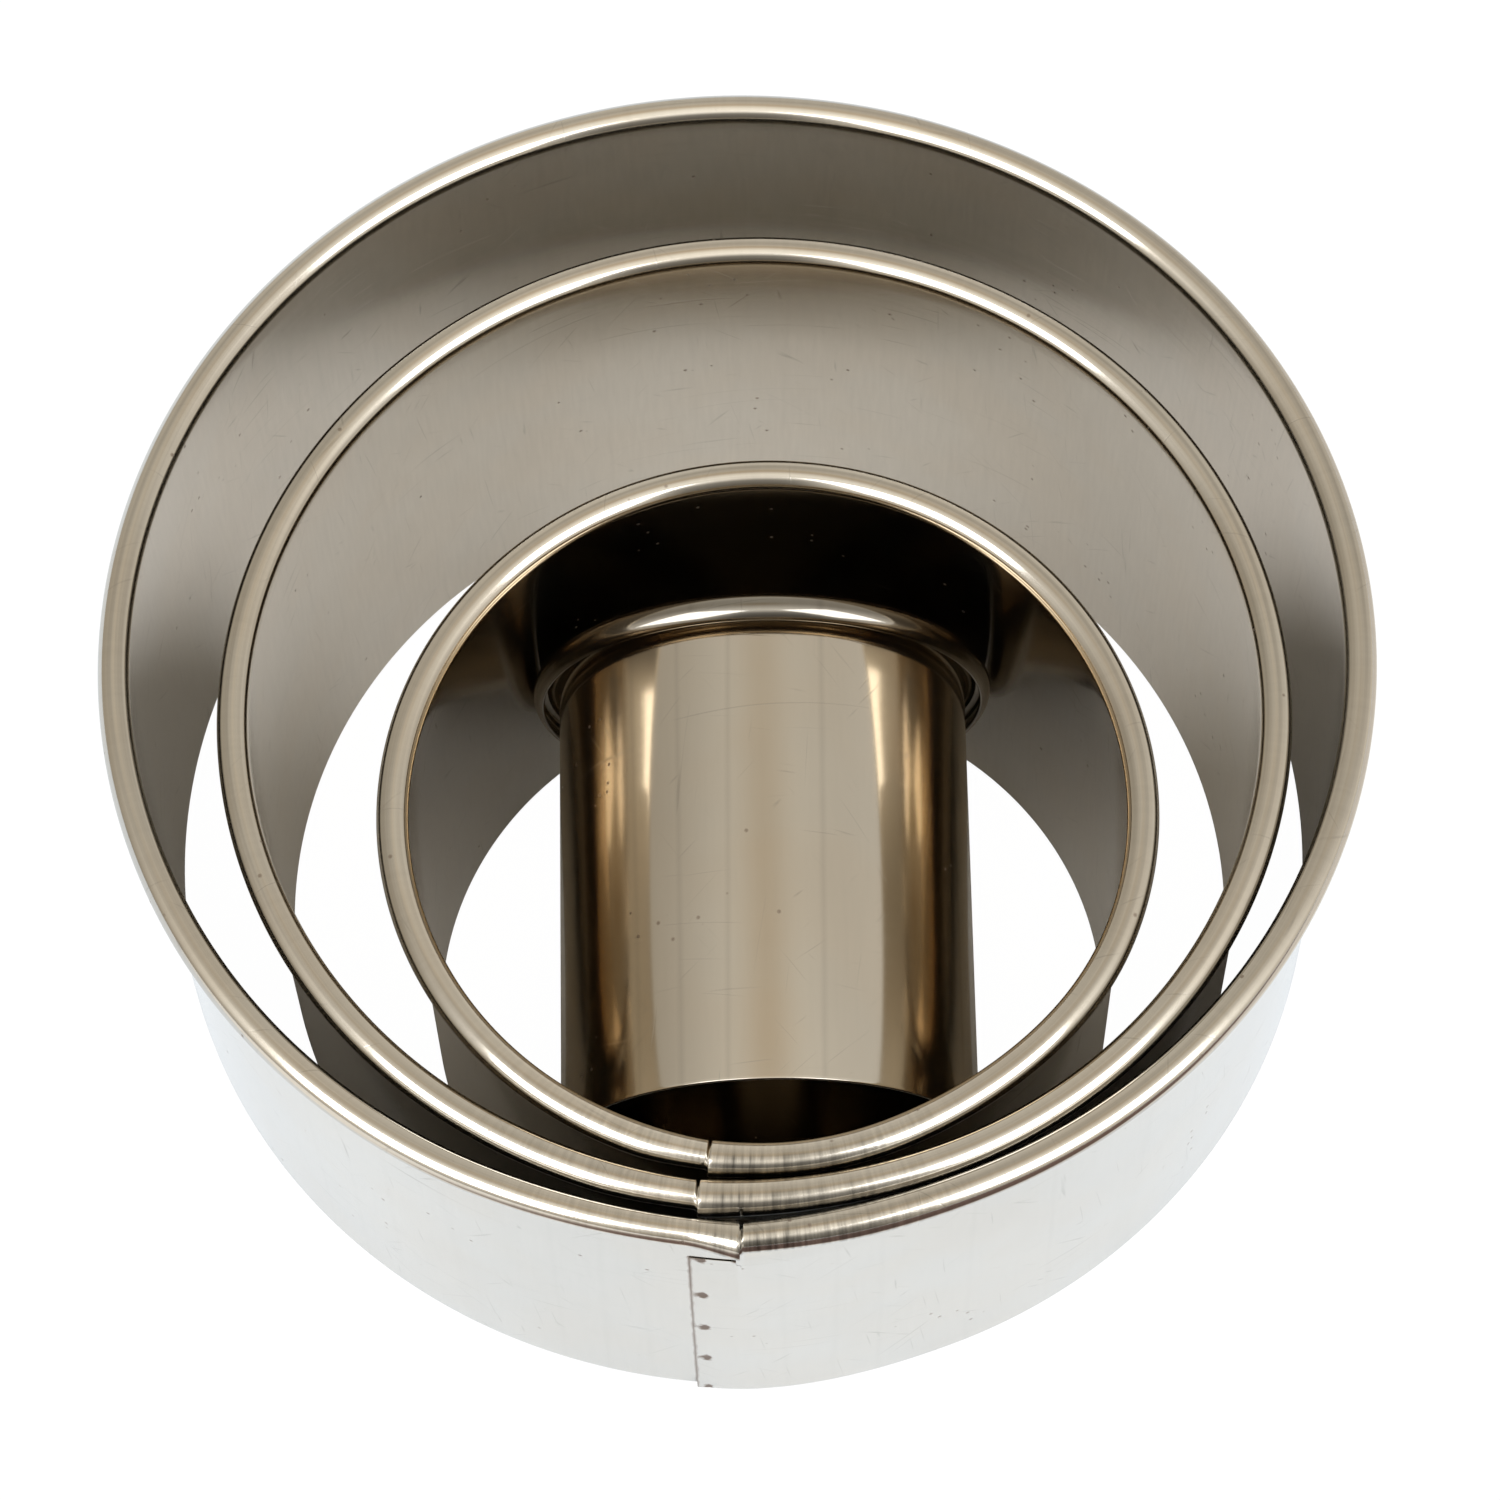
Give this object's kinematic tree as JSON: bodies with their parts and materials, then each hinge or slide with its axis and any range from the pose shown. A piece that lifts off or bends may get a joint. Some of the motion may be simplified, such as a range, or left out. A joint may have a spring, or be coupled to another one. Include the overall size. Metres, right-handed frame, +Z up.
{
  "type": "biscuit cutter",
  "caption": "Nest of plain round biscuit cutters rolled from thin steel strip, each with a hollow rolled top edge and a lapped, spot-welded seam; the smallest lies on its side.",
  "frame": {"origin": "on the table, on the axis of the large cutter", "axes": "+Z up along the axis of the large cutter, -Y the front, where the seams are"},
  "size_m": [0.0793, 0.0796, 0.0319],
  "materials": {
    "steel": "bright rolled stainless steel, nearly mirror smooth, with fine scratches from use"
  },
  "bodies": {
    "large_cutter": {"large_cutter": "steel"},
    "medium_cutter": {"medium_cutter": "steel"},
    "small_cutter": {"small_cutter": "steel"},
    "mini_cutter": {"mini_cutter": "steel"}
  },
  "joints": [
    {"name": "medium_lift", "type": "slide", "parent": "large_cutter", "child": "medium_cutter", "axis": [0, 0, 1], "range_m": [0, 0.035]},
    {"name": "small_lift", "type": "slide", "parent": "large_cutter", "child": "small_cutter", "axis": [0, 0, 1], "range_m": [0, 0.07]},
    {"name": "mini_lift", "type": "slide", "parent": "large_cutter", "child": "mini_cutter", "axis": [0, 0, 1], "range_m": [0, 0.105]}
  ]
}
